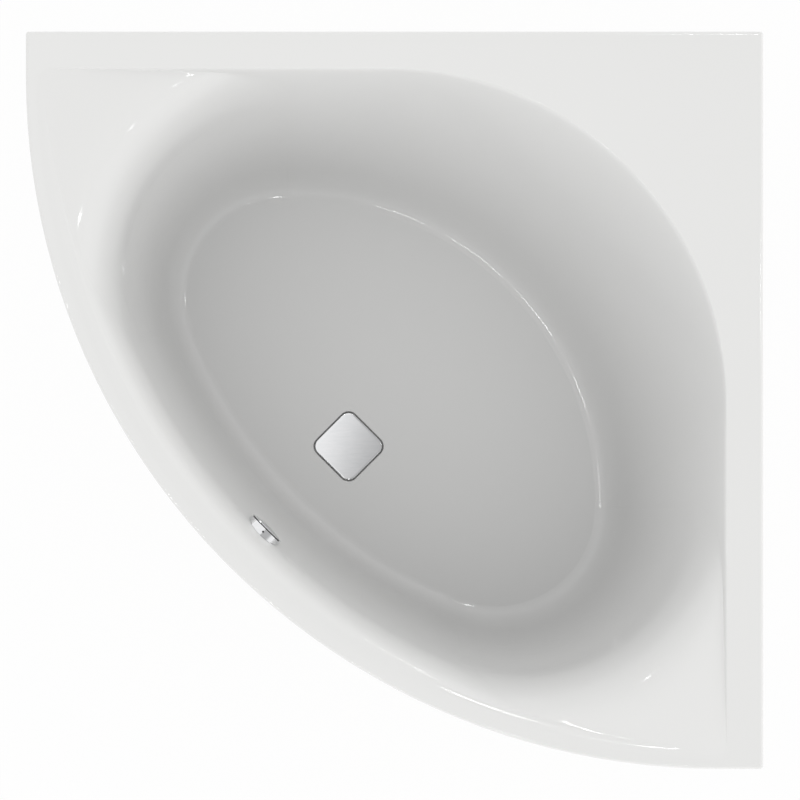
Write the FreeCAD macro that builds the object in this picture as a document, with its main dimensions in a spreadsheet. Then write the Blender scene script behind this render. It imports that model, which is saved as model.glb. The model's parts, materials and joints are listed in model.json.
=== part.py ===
import FreeCAD, Part
import math
import os
import Sketcher
from FreeCAD import Placement, Rotation, Vector

os.makedirs("parts", exist_ok=True)
doc = FreeCAD.newDocument("corner_bath")

# Driving sizes in millimetres
SIZES = {
    # Plan, rim and deck
    "tub_side": 1400,
    "end_straight": 85,
    "skirt_drop": 40,
    "acrylic": 5,
    "rim_lap": 0.2,
    "rim_rounding": 6,
    "deck_width": 69,
    "deck_edge": 6,
    "deck_corner_share": 0.4536,
    # Arm rests, front roll and basin
    "front_flat": 20,
    "arm_tip_radius": 25,
    "roll_depth": 80,
    "mouth_front": 72,
    "mouth_end_share": 0.253,
    "basin_depth": 425,
    "floor_to_wall_share": 0.2018,
    "floor_corner_share": 0.4393,
    "floor_front_share": 0.6864,
    "floor_end_share": 0.157,
    "floor_hub_share": 0.1592,
    "fillet_depth": 65,
    "fillet_run": 30,
    # Backing, boards and battens
    "backing": 3,
    "bond_line": 0.9,
    "bond_drop": 0.5,
    "backing_top": 100,
    "base_thickness": 16,
    "base_inset": 12,
    "batten_thickness": 18,
    "batten_gap": 3,
    "corner_board_gap": 20,
    # Rails, corner post and feet
    "rail_width": 40,
    "rail_height": 25,
    "rail_length": 310,
    "rail_end": 30,
    "rail_share": 1.04,
    "steel": 2,
    "post_side": 30,
    "post_from_wall": 110,
    "plate_thickness": 4,
    "post_plate_width": 90,
    "sleeve_length": 35,
    "sleeve_radius": 10,
    "spindle_radius": 6,
    "running_gap": 0.1,
    "lock_nut_flats": 19,
    "lock_nut_height": 10,
    "spindle_engaged": 24,
    "pad_radius": 28,
    "pad_height": 18,
    "pad_floor": 8,
    # Screws
    "screw_radius": 2.2,
    "screw_head_radius": 4.5,
    "screw_head_height": 2.5,
    "screw_bite": 12,
    # Wall brackets
    "bracket_width": 60,
    "bracket_steel": 3,
    "bracket_reach": 55,
    "bracket_leg": 60,
    "bracket_hole_radius": 3.25,
    "bracket_hole_spacing": 40,
    # Waste and plug
    "waste_to_front": 319,
    "recess_side": 108,
    "recess_corner": 20,
    "recess_depth": 12,
    "cover_gap": 3,
    "cover_thickness": 5,
    "cover_proud": 1,
    "waste_hole_radius": 26,
    "neck_radius": 25,
    "neck_wall": 3,
    "neck_length": 24,
    "flange_radius": 40,
    "flange_thickness": 2,
    "thin_seal": 1.5,
    "thick_seal": 3,
    "stem_radius": 4,
    "valve_radius": 29,
    "valve_thickness": 2.5,
    "cup_radius": 34,
    "cup_wall": 4,
    "cup_height": 55,
    "collar_height": 16,
    "dip_radius": 20,
    "dip_length": 75,
    "lever_arm": 24,
    "lever_swing": 12,
    "lever_shaft_radius": 3,
    "housing_radius": 20,
    "housing_depth": 18,
    # Overflow, pipe and cable
    "overflow_depth": 95,
    "overflow_radius": 38,
    "overflow_hole_radius": 26,
    "rosette_lip": 1,
    "overflow_seat": 16.5,
    "knob_gap": 2,
    "knob_thickness": 6,
    "knob_edge": 1,
    "grub_hole_radius": 2,
    "overflow_cup_radius": 31,
    "overflow_cup_depth": 35,
    "pipe_radius": 14,
    "pipe_wall": 2,
    "socket_wall": 3,
    "socket_length": 18,
    "pipe_bend": 60,
    "nut_wall": 5,
    "nut_length": 22,
    "cable_radius": 3,
    "cable_offset": 28.5,
    "cable_bend": 70,
    # Trap
    "trap_radius": 46,
    "trap_wall": 3,
    "trap_height": 66,
    "trap_clearance": 19,
    "union_gap": 3,
    "union_lip": 6,
    "collar_rise": 10,
    "outlet_radius": 20,
    "outlet_length": 200,
    "spigot_beyond": 30,
    "coupling_length": 32,
}

ROOT_TWO = math.sqrt(2)
DIAGONAL_TURN = Rotation(Vector(0, 0, 1), 225)
UP = Vector(0, 0, 1)


class Size:
    """A length with its value and the sheet expression that it comes from."""

    def __init__(self, value, text):
        self.value = value
        self.text = text

    def __float__(self):
        return float(self.value)

    def __neg__(self):
        return Size(-self.value, f"(0 - {self.text})")

    def __add__(self, other):
        other = as_size(other)
        return Size(self.value + other.value, f"({self.text} + {other.text})")

    def __sub__(self, other):
        other = as_size(other)
        return Size(self.value - other.value, f"({self.text} - {other.text})")

    def __mul__(self, other):
        other = as_size(other)
        return Size(self.value * other.value, f"({self.text} * {other.text})")

    def __truediv__(self, other):
        other = as_size(other)
        return Size(self.value / other.value, f"({self.text} / {other.text})")


def as_size(number):
    """Take a plain number as a length without a cell of its own."""
    return number if isinstance(number, Size) else Size(number, f"({number})")


sheet = doc.addObject("Spreadsheet::Sheet", "Sizes")
for row, (alias, number) in enumerate(SIZES.items(), start=1):
    sheet.set(f"A{row}", alias.replace("_", " "))
    sheet.set(f"B{row}", str(number))
    sheet.setAlias(f"B{row}", alias)
doc.recompute()


def size(alias):
    """The named cell of the sheet."""
    return Size(float(sheet.get(alias)), f"Sizes.{alias}")


# Sizes used in many places
acrylic = size("acrylic")
running_gap = size("running_gap")
CLEAR = 1
STEP = 2
CABLE_PLAY = 0.3
tub_side = size("tub_side")

# Heights of the waste and trap, measured from the bath floor
recess_floor = -size("recess_depth")
flange_low = recess_floor + size("thin_seal")
flange_top = flange_low + size("flange_thickness")
neck_low = flange_low - size("neck_length")
body_top = recess_floor - acrylic - size("thick_seal")
collar_low = body_top - size("collar_height")
cup_low = body_top - size("cup_height")
dip_low = cup_low - size("dip_length")
nut_top = cup_low - size("union_gap")
collar_top = nut_top - size("union_lip")
trap_top = collar_top - size("collar_rise")
trap_low = trap_top - size("trap_height")
cap_low = trap_low - size("trap_wall") * 2

# Heights above the ground: the trap sets the bath floor, and the basin sets the rim
floor_top = size("trap_clearance") - cap_low
rim_top = floor_top + size("basin_depth")
deck_under = rim_top - acrylic
backing_under = floor_top - acrylic - size("bond_drop") - size("backing")
base_under = backing_under - size("base_thickness")
timber_under = deck_under - size("batten_thickness")
half_side = float(tub_side) / 2
front_radius = float(tub_side - size("end_straight"))
deck_corner_radius = tub_side * size("deck_corner_share")

# The diagonal frame: u runs from the wall corner to the front, v across
corner_u = -half_side * ROOT_TWO
front_centre_u = corner_u + float(size("end_straight")) * ROOT_TWO
waste_u = front_centre_u + front_radius - float(size("waste_to_front"))


def diagonal_point(u, v, z):
    """A point of the diagonal frame."""
    return Vector((v - u) / ROOT_TWO, -(u + v) / ROOT_TWO, float(z))


def place(piece, u, v, z, turn=Rotation()):
    """Set a piece down in the diagonal frame."""
    piece.Placement = Placement(diagonal_point(u, v, z), DIAGONAL_TURN * turn)
    return piece


# Ways to draw
def bind(target, name, length):
    """Tie a property to the sheet."""
    target.setExpression(name, as_size(length).text)


def new_body(label):
    body = doc.addObject("PartDesign::Body", label)
    body.Label = label
    return body


def new_sketch(body, role):
    """An empty sketch on one of the body's own origin planes."""
    plane = next(feature for feature in body.Origin.OriginFeatures if feature.Role == role)
    sketch = body.newObject("Sketcher::SketchObject", "Sketch")
    sketch.AttachmentSupport = [(plane, "")]
    sketch.MapMode = "FlatFace"
    return sketch


def fix_point(sketch, geometry, end, x, y):
    """Hold one point of the sketch at expressions for x and y."""
    for kind, axis, length in (("DistanceX", -2, as_size(x)), ("DistanceY", -1, as_size(y))):
        if length.value == 0:
            sketch.addConstraint(Sketcher.Constraint("PointOnObject", geometry, end, axis))
        else:
            held = Sketcher.Constraint(kind, -1, 1, geometry, end, length.value)
            sketch.setExpression(f"Constraints[{sketch.addConstraint(held)}]", length.text)


def draw_polygon(sketch, points):
    """A closed outline of straight lines."""
    corners = [Vector(float(x), float(y), 0) for x, y in points]
    count = len(corners)
    first = sketch.GeometryCount
    for i in range(count):
        sketch.addGeometry(Part.LineSegment(corners[i], corners[(i + 1) % count]), False)
    for i in range(count):
        sketch.addConstraint(Sketcher.Constraint("Coincident", first + i, 2, first + (i + 1) % count, 1))
    for i, (x, y) in enumerate(points):
        fix_point(sketch, first + i, 1, x, y)


def draw_circle(sketch, x, y, radius):
    circle = Part.Circle(Vector(float(x), float(y), 0), UP, float(radius))
    index = sketch.addGeometry(circle, False)
    fix_point(sketch, index, 3, x, y)
    held = sketch.addConstraint(Sketcher.Constraint("Radius", index, float(radius)))
    sketch.setExpression(f"Constraints[{held}]", as_size(radius).text)


def add_pad(body, sketch, length):
    feature = body.newObject("PartDesign::Pad", "Pad")
    feature.Profile = sketch
    bind(feature, "Length", length)
    return feature


def add_pocket(body, sketch):
    """Cut the sketch right through, both ways."""
    feature = body.newObject("PartDesign::Pocket", "Pocket")
    feature.Profile = sketch
    feature.Type = "ThroughAll"
    feature.SideType = "Symmetric"
    return feature


def add_fillet(body, base, radius, wanted):
    """Round the edges of the base feature that pass the test."""
    doc.recompute()
    names = [f"Edge{i}" for i, edge in enumerate(base.Shape.Edges, start=1) if wanted(edge)]
    feature = body.newObject("PartDesign::Fillet", "Fillet")
    feature.Base = (base, names)
    bind(feature, "Radius", radius)
    return feature


def turned(label, points):
    """A body turned about its Z axis from points of radius and height."""
    body = new_body(label)
    sketch = new_sketch(body, "XZ_Plane")
    draw_polygon(sketch, points)
    feature = body.newObject("PartDesign::Revolution", "Revolution")
    feature.Profile = sketch
    feature.ReferenceAxis = (sketch, ["V_Axis"])
    feature.Angle = 360
    return body


def ring_points(inner, outer, low, high):
    """Section of a plain ring."""
    return [(inner, low), (outer, low), (outer, high), (inner, high)]


def box(length, width, height, x, y, z):
    """A block with its low corner at x, y, z."""
    block = doc.addObject("Part::Box", "Block")
    for name, value in (("Length", length), ("Width", width), ("Height", height)):
        bind(block, name, value)
    for name, value in (("x", x), ("y", y), ("z", z)):
        bind(block, f"Placement.Base.{name}", value)
    return block


def rod(radius, length, x, y, z, along=UP):
    """A round bar from x, y, z in the given direction."""
    bar = doc.addObject("Part::Cylinder", "Bar")
    bind(bar, "Radius", radius)
    bind(bar, "Height", length)
    bar.Placement = Placement(Vector(), Rotation(UP, along))
    for name, value in (("x", x), ("y", y), ("z", z)):
        bind(bar, f"Placement.Base.{name}", value)
    return bar


def joined(label, pieces):
    """One piece welded or moulded from several."""
    whole = doc.addObject("Part::MultiFuse", label)
    whole.Shapes = pieces
    whole.Label = label
    return whole


def drilled(label, base, tools):
    """A piece with all the tools cut away."""
    result = doc.addObject("Part::Cut", label)
    result.Base = base
    result.Tool = tools[0] if len(tools) == 1 else joined(f"{label}_cutters", tools)
    result.Label = label
    return result


def shaped(label, shape):
    """A piece whose free form is worked out below."""
    piece = doc.addObject("Part::Feature", label)
    piece.Label = label
    piece.Shape = shape.Solids[0] if len(shape.Solids) == 1 else shape
    return piece


def group(label, pattern, spots):
    """Copies of one small piece as a group of separate solids."""
    doc.recompute()
    copies = []
    for spot in spots:
        copy = pattern.Shape.copy()
        copy.Placement = spot
        copies.append(copy)
    return shaped(label, Part.makeCompound(copies))


def diagonal_spot(u, v, z, turn=Rotation()):
    return Placement(diagonal_point(u, v, z), DIAGONAL_TURN * turn)


def grown(section, margin):
    """The same section moved outwards all round."""
    wall, corner, end, front, hub = section
    return wall - margin, corner + margin, end + margin, front + margin, hub


# Outline of the basin at one level: wall distance, corner, end and front radius, and the front arc's hub
MOUTH = (
    float(size("deck_width") + size("deck_edge")),
    float(deck_corner_radius),
    float(tub_side * size("mouth_end_share")),
    front_radius - float(size("mouth_front")),
    float(size("end_straight")),
)
FLOOR = (
    float(tub_side * size("floor_to_wall_share")),
    float(tub_side * size("floor_corner_share")),
    float(tub_side * size("floor_end_share")),
    float(tub_side * size("floor_front_share")),
    float(tub_side * size("floor_hub_share")),
)
LEAF = (
    MOUTH[0] - float(size("deck_edge")),
    MOUTH[1] + float(size("deck_edge")),
    float(size("arm_tip_radius")),
    front_radius - float(size("front_flat")),
    float(size("end_straight")),
)
FLAT = grown(FLOOR, -float(size("fillet_run")))
BASIN_DEPTH = float(size("basin_depth"))
ROLL_STEPS = 12
WALL_STEPS = 4
FILLET_STEPS = 5
# An arm rest falls by this share of the roll before it turns down
ARM_SLOPE = 0.15
ARM_SHARPNESS = 16
HALVINGS = 40


def wall_section(depth):
    """The straight basin wall at a depth under the rim."""
    share = depth / BASIN_DEPTH
    return [top + (low - top) * share for top, low in zip(MOUTH, FLOOR)]


def front_wall_u(depth):
    """Where the front wall crosses the diagonal at a depth under the rim."""
    front, hub = wall_section(depth)[3:]
    return corner_u + hub * ROOT_TWO + front


def arm_run(drop):
    """Share of an arm rest's length at which it has fallen by a share of the roll."""
    low, high = 0.0, 1.0
    for halving in range(HALVINGS):
        half = (low + high) / 2
        if ARM_SLOPE * half + (1 - ARM_SLOPE) * half ** ARM_SHARPNESS < drop:
            low = half
        else:
            high = half
    return high


def rolled(start, middle, end, drop):
    """Section of the rolled edge at a share of its depth."""
    edge = 1 - (1 - math.sqrt(drop)) ** 2
    runs = (edge, edge, arm_run(drop), edge, edge)
    return [(1 - run) * a + (run - drop) * b + drop * c for a, b, c, run in zip(start, middle, end, runs)]


def eased(start, middle, end, share):
    """Sections along a curve that leaves start and reaches end towards middle."""
    return [
        (1 - share) ** 2 * a + 2 * share * (1 - share) * b + share ** 2 * c
        for a, b, c in zip(start, middle, end)
    ]


def basin_levels():
    """Depth and section of every level from the rim to the floor."""
    roll = float(size("roll_depth"))
    base = BASIN_DEPTH - float(size("fillet_depth"))
    levels = []
    for step in range(ROLL_STEPS + 1):
        drop = (step / ROLL_STEPS) ** 2
        levels.append((drop * roll, rolled(LEAF, wall_section(0), wall_section(roll), drop)))
    for step in range(1, WALL_STEPS):
        depth = roll + (base - roll) * step / WALL_STEPS
        levels.append((depth, wall_section(depth)))
    for step in range(FILLET_STEPS + 1):
        share = step / FILLET_STEPS
        depth = BASIN_DEPTH - (1 - share) ** 2 * (BASIN_DEPTH - base)
        levels.append((depth, eased(wall_section(base), FLOOR, FLAT, share)))
    return levels


def end_centre(section):
    """Centre of the end arc that touches the wall line and the front arc, from the two walls."""
    wall, corner, end, front, hub = section
    rise = wall + end - hub
    return hub + math.sqrt((front - end) ** 2 - rise ** 2), wall + end


def basin_outline(section, z):
    """Six tangent pieces: two straights, two ends, the front and the corner."""
    wall, corner, end, front, hub = section
    far, near = end_centre(section)
    meet = math.atan2(near - hub, far - hub)
    middle = wall + corner

    def point(from_right, from_back):
        return Vector(half_side - from_right, half_side - from_back, z)

    def arc(x, y, radius, start, stop):
        turns = (start, (start + stop) / 2, stop)
        return Part.Arc(*[point(x + radius * math.cos(a), y + radius * math.sin(a)) for a in turns])

    quarter = math.pi / 2
    pieces = [
        Part.LineSegment(point(middle, wall), point(far, wall)),
        arc(far, near, end, -quarter, meet),
        arc(hub, hub, front, meet, quarter - meet),
        arc(near, far, end, quarter - meet, 2 * quarter),
        Part.LineSegment(point(wall, far), point(wall, middle)),
        arc(middle, middle, corner, 2 * quarter, 3 * quarter),
    ]
    return Part.Wire([piece.toShape() for piece in pieces])


def basin_solid(margin, drop):
    """The basin's inside, grown by a margin and lowered by a drop."""
    top = float(rim_top) - drop
    wires = [basin_outline(grown(section, margin), top - depth) for depth, section in basin_levels()]
    return Part.makeLoft(wires, True, False, False)


def rim_slab(inset, low, high):
    """The plan of the bath between two heights: square corner and quarter-round front."""
    side = half_side - inset
    arc_start = half_side - float(size("end_straight"))
    radius = front_radius - inset
    front = arc_start - radius / ROOT_TWO
    corner = Vector(side, side, low)
    left_back = Vector(-side, side, low)
    left_end = Vector(-side, arc_start, low)
    right_end = Vector(arc_start, -side, low)
    right_front = Vector(side, -side, low)
    pieces = [
        Part.LineSegment(corner, left_back),
        Part.LineSegment(left_back, left_end),
        Part.Arc(left_end, Vector(front, front, low), right_end),
        Part.LineSegment(right_end, right_front),
        Part.LineSegment(right_front, corner),
    ]
    outline = Part.Wire([piece.toShape() for piece in pieces])
    return Part.Face(outline).extrude(Vector(0, 0, high - low))


def rounded_block(side, corner, low, high):
    """A block with rounded upright edges on the waste axis."""
    block = Part.makeBox(side, side, high - low, Vector(-side / 2, -side / 2, low))
    upright = [edge for edge in block.Edges if edge.BoundBox.ZLength > (high - low) / 2]
    block = block.makeFillet(corner, upright)
    block.Placement = Placement(diagonal_point(waste_u, 0, 0), DIAGONAL_TURN)
    return block


def level_bar(radius, u_low, u_high, z):
    """A round bar along the diagonal at one height."""
    toward_front = diagonal_point(1, 0, 0)
    return Part.makeCylinder(radius, u_high - u_low, diagonal_point(u_low, 0, z), toward_front)


def moved_along(shape, distance):
    """The shape shifted along the diagonal, towards the front."""
    copy = shape.copy()
    copy.translate(diagonal_point(distance, 0, 0))
    return copy


# The overflow sits on the front wall, on the diagonal
overflow_z = float(rim_top - size("overflow_depth"))
overflow_u = front_wall_u(float(size("overflow_depth")))
wall_lean = (front_wall_u(0) - front_wall_u(BASIN_DEPTH)) / BASIN_DEPTH
OVERFLOW_TURN = Rotation(Vector(0, 1, 0), -90)
WALL_PLAY = 0.4
WALL_SLAB = 60
DOME_STEPS = 6


def acrylic_shell(cavity, outside):
    """Moulded rim, deck, arm rests, basin and waste recess in one sheet."""
    thickness = float(acrylic)
    top = float(rim_top)
    skirt = top - float(size("skirt_drop"))
    slab = rim_slab(0, skirt, top)
    corners = (Vector(half_side, half_side), Vector(-half_side, half_side), Vector(half_side, -half_side))

    def rounded(edge):
        box_of_edge = edge.BoundBox
        if box_of_edge.ZLength < 1:
            return box_of_edge.ZMin > skirt + CLEAR
        spot = Vector(box_of_edge.XMin, box_of_edge.YMin)
        return any(spot.distanceToPoint(corner) < 1 for corner in corners)

    rim = slab.makeFillet(float(size("rim_rounding")), [edge for edge in slab.Edges if rounded(edge)])
    under = rim_slab(thickness, skirt, top - thickness)
    side = float(size("recess_side"))
    corner = float(size("recess_corner"))
    recess_floor = float(floor_top - size("recess_depth"))
    well = rounded_block(side + 2 * thickness, corner + thickness, recess_floor - thickness, float(floor_top))
    recess = rounded_block(side, corner, recess_floor, float(floor_top) + thickness)
    hole_radius = float(size("waste_hole_radius"))
    waste_hole = Part.makeCylinder(hole_radius, 3 * thickness,
                                   diagonal_point(waste_u, 0, recess_floor - 2 * thickness))
    overflow_hole = level_bar(float(size("overflow_hole_radius")), overflow_u - WALL_SLAB / 2,
                              overflow_u + WALL_SLAB / 2, overflow_z)
    shell = rim.cut(under).fuse([outside, well])
    return shaped("acrylic_shell", shell.cut([cavity, recess, waste_hole, overflow_hole]))


def well_clearance():
    """Radius that clears the rounded square under the waste recess."""
    side = float(size("recess_side")) / 2 + float(acrylic)
    corner = float(size("recess_corner") + acrylic)
    return side * ROOT_TWO - corner * (ROOT_TWO - 1) + float(size("batten_gap"))


def glass_fibre_backing():
    """Resin and fibre layer over the outside of the basin."""
    inner_margin = float(acrylic + size("bond_line"))
    inner_drop = float(acrylic + size("bond_drop"))
    thickness = float(size("backing"))
    inside = basin_solid(inner_margin, inner_drop)
    outside = basin_solid(inner_margin + thickness, inner_drop + thickness)
    top = float(rim_top - size("backing_top"))
    above = Part.makeBox(2 * half_side, 2 * half_side, half_side, Vector(-half_side, -half_side, top))
    well_hole = Part.makeCylinder(well_clearance(), BASIN_DEPTH, diagonal_point(waste_u, 0, 0))
    overflow_gap = level_bar(float(size("overflow_radius") + size("base_inset")),
                             overflow_u - WALL_SLAB, overflow_u + WALL_SLAB, overflow_z)
    return shaped("glass_fibre_backing", outside.cut([inside, above, well_hole, overflow_gap]))


# Feet stand under two rails and under the corner post
rail_far, rail_near = end_centre(FLAT)
rail_u = corner_u + (rail_far + rail_near) / ROOT_TWO
rail_v = (rail_far - rail_near) / ROOT_TWO * float(size("rail_share"))
rail_length = size("rail_length")
foot_half = rail_length / 2 - size("rail_end")
post_u = corner_u + float(size("post_from_wall")) * ROOT_TWO
RAIL_FEET = [(rail_u + along * float(foot_half), across * rail_v) for across in (-1, 1) for along in (-1, 1)]
FEET = RAIL_FEET + [(post_u, 0)]
RAIL_SCREW_SHARES = (-0.28, 0.28)
RAIL_SCREWS = [
    (rail_u + share * float(rail_length), across * rail_v)
    for across in (-1, 1)
    for share in RAIL_SCREW_SHARES
]
web_under = base_under - size("steel")
sleeve_under = web_under - size("sleeve_length")
spindle_top = sleeve_under + size("spindle_engaged")
spindle_bore = size("spindle_radius") + running_gap
spindle_clearance = size("spindle_radius") + size("steel")
screw_hole = size("screw_radius") + running_gap


def base_board():
    """Plywood board that carries the basin floor."""
    inset = float(size("base_inset"))
    low = float(base_under)
    outline = basin_outline(grown(FLAT, -inset), low)
    thickness = float(size("base_thickness"))
    board = Part.Face(outline).extrude(Vector(0, 0, thickness))
    holes = [Part.makeCylinder(well_clearance(), thickness, diagonal_point(waste_u, 0, low))]
    for u, v in RAIL_FEET:
        holes.append(Part.makeCylinder(float(spindle_clearance), thickness, diagonal_point(u, v, low)))
    for u, v in RAIL_SCREWS:
        spot = diagonal_point(u, v, low)
        holes.append(Part.makeCylinder(float(screw_hole), float(size("screw_bite")), spot))
    return shaped("base_board", board.cut(holes))


def support_rail(label, across):
    """Steel channel, open below, with holes for feet and screws."""
    body = new_body(label)
    half = size("rail_width") / 2
    steel = size("steel")
    height = size("rail_height")
    profile = new_sketch(body, "YZ_Plane")
    draw_polygon(profile, [
        (-half, 0), (half, 0), (half, -height), (half - steel, -height),
        (half - steel, -steel), (steel - half, -steel), (steel - half, -height), (-half, -height),
    ])
    add_pad(body, profile, rail_length)
    holes = new_sketch(body, "XY_Plane")
    for along in (-1, 1):
        draw_circle(holes, rail_length / 2 + foot_half * along, 0, spindle_clearance)
    for share in RAIL_SCREW_SHARES:
        draw_circle(holes, rail_length / 2 + rail_length * share, 0, screw_hole)
    add_pocket(body, holes)
    return place(body, rail_u - float(rail_length) / 2, across * rail_v, base_under)


def corner_post():
    """Square steel leg under the corner shelf, closed below by a welded plate."""
    side = size("post_side")
    steel = size("steel")
    plate = size("plate_thickness")
    height = timber_under - plate - sleeve_under
    tube = box(side, side, height, -side / 2, -side / 2, 0)
    inner = side - steel * 2
    hollow = box(inner, inner, height, -inner / 2, -inner / 2, plate)
    hole = rod(spindle_clearance, plate * 2, 0, 0, -plate / 2)
    return place(drilled("corner_post", tube, [hollow, hole]), post_u, 0, sleeve_under)


def post_screw_spots():
    """Four screws near the corners of the post's top plate."""
    reach = float(size("post_plate_width")) / 2 - 2 * float(size("screw_head_radius"))
    return [(post_u + along * reach, across * reach) for across in (-1, 1) for along in (-1, 1)]


def post_top_plate():
    side = size("post_plate_width")
    plate = size("plate_thickness")
    slab = box(side, side, plate, -side / 2, -side / 2, 0)
    reach = side / 2 - size("screw_head_radius") * 2
    holes = [
        rod(screw_hole, plate * 2, reach * along, reach * across, -plate / 2)
        for across in (-1, 1) for along in (-1, 1)
    ]
    return place(drilled("post_top_plate", slab, holes), post_u, 0, timber_under - plate)


def screw_pattern(label, grip):
    """Round-head wood screw that holds a sheet of the given thickness, tip up, seat at zero."""
    tip = grip + size("screw_bite")
    shank = size("screw_radius")
    return turned(label, [
        (0, -size("screw_head_height")), (size("screw_head_radius"), -size("screw_head_height") / 2),
        (size("screw_head_radius"), 0), (shank, 0), (shank, tip - shank), (0, tip),
    ])


# The deck carries timber under its two wall sides and its corner shelf
timber_low = acrylic + size("batten_gap")
timber_width = size("deck_width") - acrylic * 2 - size("batten_gap") * 2
arc_middle = size("deck_width") + size("deck_edge") + deck_corner_radius
arc_clear = deck_corner_radius + acrylic + size("corner_board_gap")
corner_leg = (arc_middle - arc_clear / ROOT_TWO) * 2 - timber_low - timber_width
BRACKET_SHARES = (0.36, 0.82)
BRACKET_WALLS = (("back", Rotation(UP, 90)), ("right", Rotation()))


def bracket_spots():
    """Wall, turn and distance from the corner of every wall bracket."""
    return [
        (wall, turn, share * float(tub_side))
        for wall, turn in BRACKET_WALLS
        for share in BRACKET_SHARES
    ]


def wall_point(wall, from_corner, from_wall, z):
    """A point given by its distances from the corner and from one wall."""
    along = half_side - from_corner
    off = half_side - from_wall
    return Vector(along, off, float(z)) if wall == "back" else Vector(off, along, float(z))


bracket_screw_in = float(size("bracket_reach")) / 2 + float(timber_low)
bracket_half = float(size("bracket_hole_spacing")) / 2


def bracket_screw_spots(wall):
    return [
        wall_point(wall, along + side * bracket_half, bracket_screw_in, timber_under)
        for name, turn, along in bracket_spots()
        for side in (-1, 1)
        if name == wall
    ]


def corner_board():
    """Plywood under the corner shelf, cut straight across before the basin."""
    body = new_body("corner_board")
    sketch = new_sketch(body, "XY_Plane")
    low = timber_low
    across = timber_low + timber_width
    draw_polygon(sketch, [
        (-low, -low), (-corner_leg, -low), (-corner_leg, -across),
        (-across, -corner_leg), (-low, -corner_leg),
    ])
    add_pad(body, sketch, size("batten_thickness"))
    holes = new_sketch(body, "XY_Plane")
    from_corner = size("post_from_wall")
    reach = (size("post_plate_width") / 2 - size("screw_head_radius") * 2) * ROOT_TWO
    for x, y in ((reach, 0), (-reach, 0), (0, reach), (0, -reach)):
        draw_circle(holes, as_size(x) - from_corner, as_size(y) - from_corner, screw_hole)
    add_pocket(body, holes)
    body.Placement = Placement(Vector(half_side, half_side, float(timber_under)), Rotation())
    return body


def rim_batten(wall):
    """Timber strip bonded under the deck along one wall."""
    label = f"rim_batten_{wall}"
    body = new_body(label)
    sketch = new_sketch(body, "XY_Plane")
    start = corner_leg + size("batten_gap")
    stop = tub_side - size("front_flat") - acrylic
    low = timber_low
    high = timber_low + timber_width

    def turned_point(along, off):
        return (-along, -off) if wall == "back" else (-off, -along)

    corners = ((start, low), (stop, low), (stop, high), (start, high))
    draw_polygon(sketch, [turned_point(*spot) for spot in corners])
    add_pad(body, sketch, size("batten_thickness"))
    holes = new_sketch(body, "XY_Plane")
    off = size("bracket_reach") / 2 + timber_low
    for share in BRACKET_SHARES:
        for side in (-1, 1):
            along = tub_side * share + size("bracket_hole_spacing") / 2 * side
            draw_circle(holes, *turned_point(along, off), screw_hole)
    add_pocket(body, holes)
    body.Placement = Placement(Vector(half_side, half_side, float(timber_under)), Rotation())
    return body


BRACKET_STEP_SHARE = 1.5


def wall_bracket(label, wall, turn, from_corner):
    """Bent steel plate screwed under a batten, with two holes towards the wall."""
    body = new_body(label)
    steel = size("bracket_steel")
    inset = acrylic + size("batten_gap") / 2
    bend = size("skirt_drop") - acrylic - size("batten_thickness") + steel
    step = inset * BRACKET_STEP_SHARE
    low = bend + step + size("bracket_leg")
    reach = size("bracket_reach") + inset
    profile = new_sketch(body, "XZ_Plane")
    draw_polygon(profile, [
        (-reach, 0), (-inset, 0), (-inset, -bend), (0, -(bend + step)), (0, -low),
        (-steel, -low), (-steel, -(bend + step + steel / 2)), (-(inset + steel), -(bend + steel / 2)),
        (-(inset + steel), -steel), (-reach, -steel),
    ])
    add_pad(body, profile, size("bracket_width"))
    half = size("bracket_hole_spacing") / 2
    middle = size("bracket_width") / 2
    wall_holes = new_sketch(body, "YZ_Plane")
    for side in (-1, 1):
        height = -(low - size("bracket_leg") / 2)
        draw_circle(wall_holes, half * side - middle, height, size("bracket_hole_radius"))
    add_pocket(body, wall_holes)
    screw_holes = new_sketch(body, "XY_Plane")
    for side in (-1, 1):
        draw_circle(screw_holes, -(size("bracket_reach") / 2 + timber_low), half * side - middle, screw_hole)
    add_pocket(body, screw_holes)
    origin = wall_point(wall, from_corner, 0, timber_under)
    shift = turn.multVec(Vector(0, float(middle), 0))
    body.Placement = Placement(origin + shift, turn)
    return body


COLLAR_SHARE = 1.5


def foot(number, u, v):
    """Threaded spindle with a spanner collar, and its swivel pad."""
    radius = size("spindle_radius")
    seat = size("pad_floor")
    collar_low = size("pad_height") + size("steel")
    collar_high = collar_low + seat
    collar = radius * COLLAR_SHARE
    spindle = turned(f"foot_spindle_{number}", [
        (0, seat), (radius, seat), (radius, collar_low), (collar, collar_low), (collar, collar_high),
        (radius, collar_high), (radius, spindle_top), (0, spindle_top),
    ])
    pad_radius = size("pad_radius")
    top = size("pad_height")
    socket = radius + running_gap
    pad = turned(f"foot_pad_{number}", [
        (0, 0), (pad_radius, 0), (pad_radius, top / 3), (socket * 2, top),
        (socket, top), (socket, seat), (0, seat),
    ])
    return [place(spindle, u, v, 0), place(pad, u, v, 0)]


def threaded_sleeves():
    section = ring_points(spindle_bore, size("sleeve_radius"), 0, size("sleeve_length"))
    pattern = turned("sleeve_pattern", section)
    spots = [diagonal_spot(u, v, sleeve_under) for u, v in RAIL_FEET]
    spots.append(diagonal_spot(post_u, 0, sleeve_under + size("plate_thickness")))
    return group("threaded_sleeves", pattern, spots)


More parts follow.
